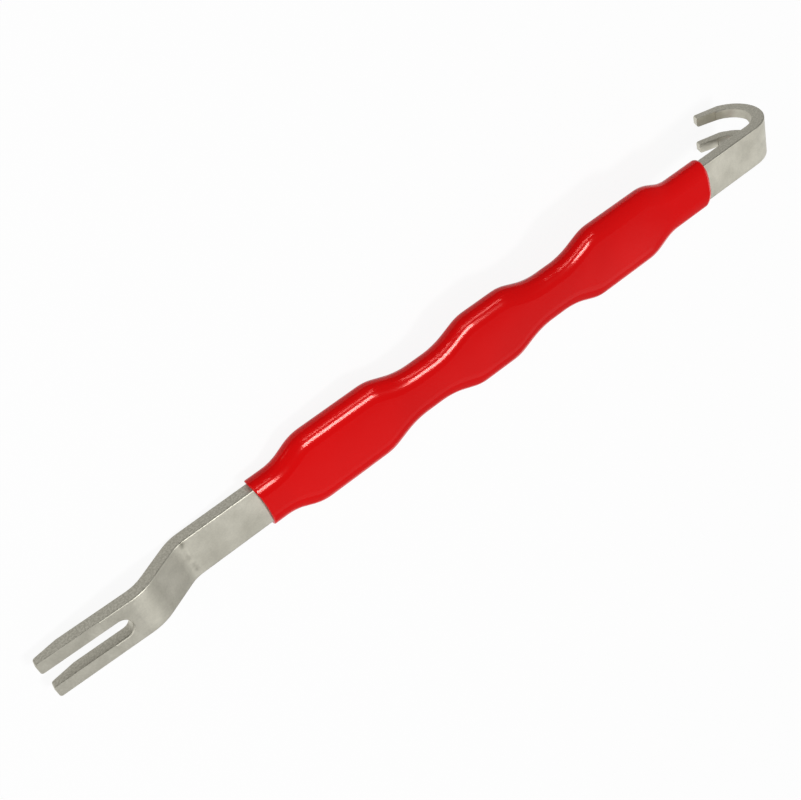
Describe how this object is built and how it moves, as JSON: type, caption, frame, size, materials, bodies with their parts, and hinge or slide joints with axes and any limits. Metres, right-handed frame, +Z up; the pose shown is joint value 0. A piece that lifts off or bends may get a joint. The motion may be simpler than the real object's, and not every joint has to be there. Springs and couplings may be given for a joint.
{
  "type": "terminal removal tool",
  "caption": "Flat steel terminal removal tool with a stepped fork at one end, a bent-back forked hook at the other, and a glossy red dipped vinyl grip that follows its waved sides.",
  "frame": {"origin": "bottom centre of the bounding box, on the surface that the tool rests on", "axes": "X from the hook to the fork, Y across the bar, Z up; the tool lies wide face up on both hook tips and the heel of the step"},
  "size_m": [0.2254, 0.0204, 0.0204],
  "materials": {
    "steel": "satin, tumbled after blanking",
    "vinyl": "glossy dipped vinyl"
  },
  "bodies": {
    "root": {"steel_bar": "steel", "vinyl_grip": "vinyl"}
  },
  "joints": []
}
